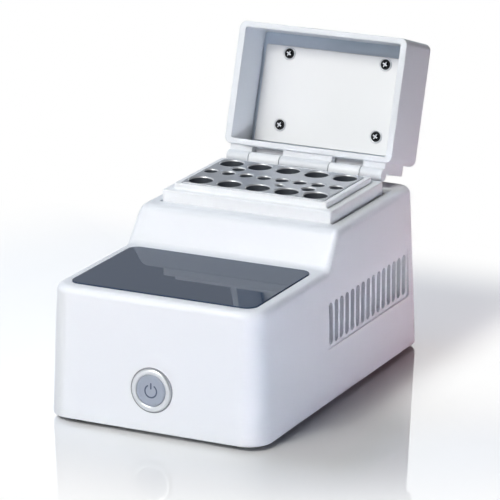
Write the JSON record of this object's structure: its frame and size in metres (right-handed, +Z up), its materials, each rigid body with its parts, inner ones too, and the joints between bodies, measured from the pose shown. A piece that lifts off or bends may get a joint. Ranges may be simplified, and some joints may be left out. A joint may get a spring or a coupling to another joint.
{
  "type": "dry block heater",
  "caption": "Compact bench heater with a drilled aluminium tube block, sloped control deck with a dark touch panel, front power button, vented sides and a hinged lid.",
  "frame": {"origin": "on the surface the heater stands on, under the middle of the box round the heater with its lid open", "axes": "+Z up, -Y towards the user (display and power button), +X to the user's right; the lid's hinge runs along X at the rear"},
  "size_m": [0.105, 0.2016, 0.143],
  "materials": {
    "white_abs": "glossy moulded ABS",
    "lid_abs": "glossy moulded ABS",
    "base_abs": "fine spark-eroded ABS",
    "lid_liner": "matt moulded ABS",
    "rubber": "matt",
    "dark_glass": "polished back-printed cover glass",
    "circuit_board": "solder mask",
    "silver_ring": "satin plated",
    "black_plastic": "moulded nylon",
    "button_cap": "frosted translucent",
    "block_aluminium": "bead-blasted and anodised",
    "plate_aluminium": "brushed bright",
    "heater_film": "polyimide film",
    "foam": "open-cell foam",
    "sheet_steel": "zinc plated",
    "steel": "plated"
  },
  "bodies": {
    "base": {"housing": "white_abs", "base_plate": "base_abs", "rubber_feet": "rubber", "base_screws": "steel", "display_glass": "dark_glass", "display_module": "circuit_board", "button_bezel": "silver_ring", "push_switch": "black_plastic", "block_frame": "white_abs", "frame_screws": "steel", "heating_block": "block_aluminium", "heater_pad": "heater_film", "block_insulation": "foam", "block_carrier": "sheet_steel", "carrier_screws": "steel", "temperature_sensor": "steel", "control_board": "circuit_board", "board_screws": "steel", "power_inlet": "black_plastic", "inlet_nut": "steel", "hinge_pin": "steel"},
    "lid": {"lid_shell": "lid_abs", "lid_inner_panel": "lid_liner", "lid_insulation": "foam", "lid_plate": "plate_aluminium", "lid_screws": "steel", "lid_screw_rings": "steel"},
    "button": {"power_button": "button_cap"}
  },
  "joints": [
    {"name": "lid_hinge", "type": "hinge", "parent": "base", "child": "lid", "pos_m": [0, 0.05422, 0.0829], "axis": [1, 0, 0], "range_deg": [0, 107.7]},
    {"name": "button_press", "type": "slide", "parent": "base", "child": "button", "axis": [0, 0.9991, -0.0419], "range_m": [0, 0.0012], "stiffness_N_per_m": 900, "springref_m": -0.0006}
  ]
}
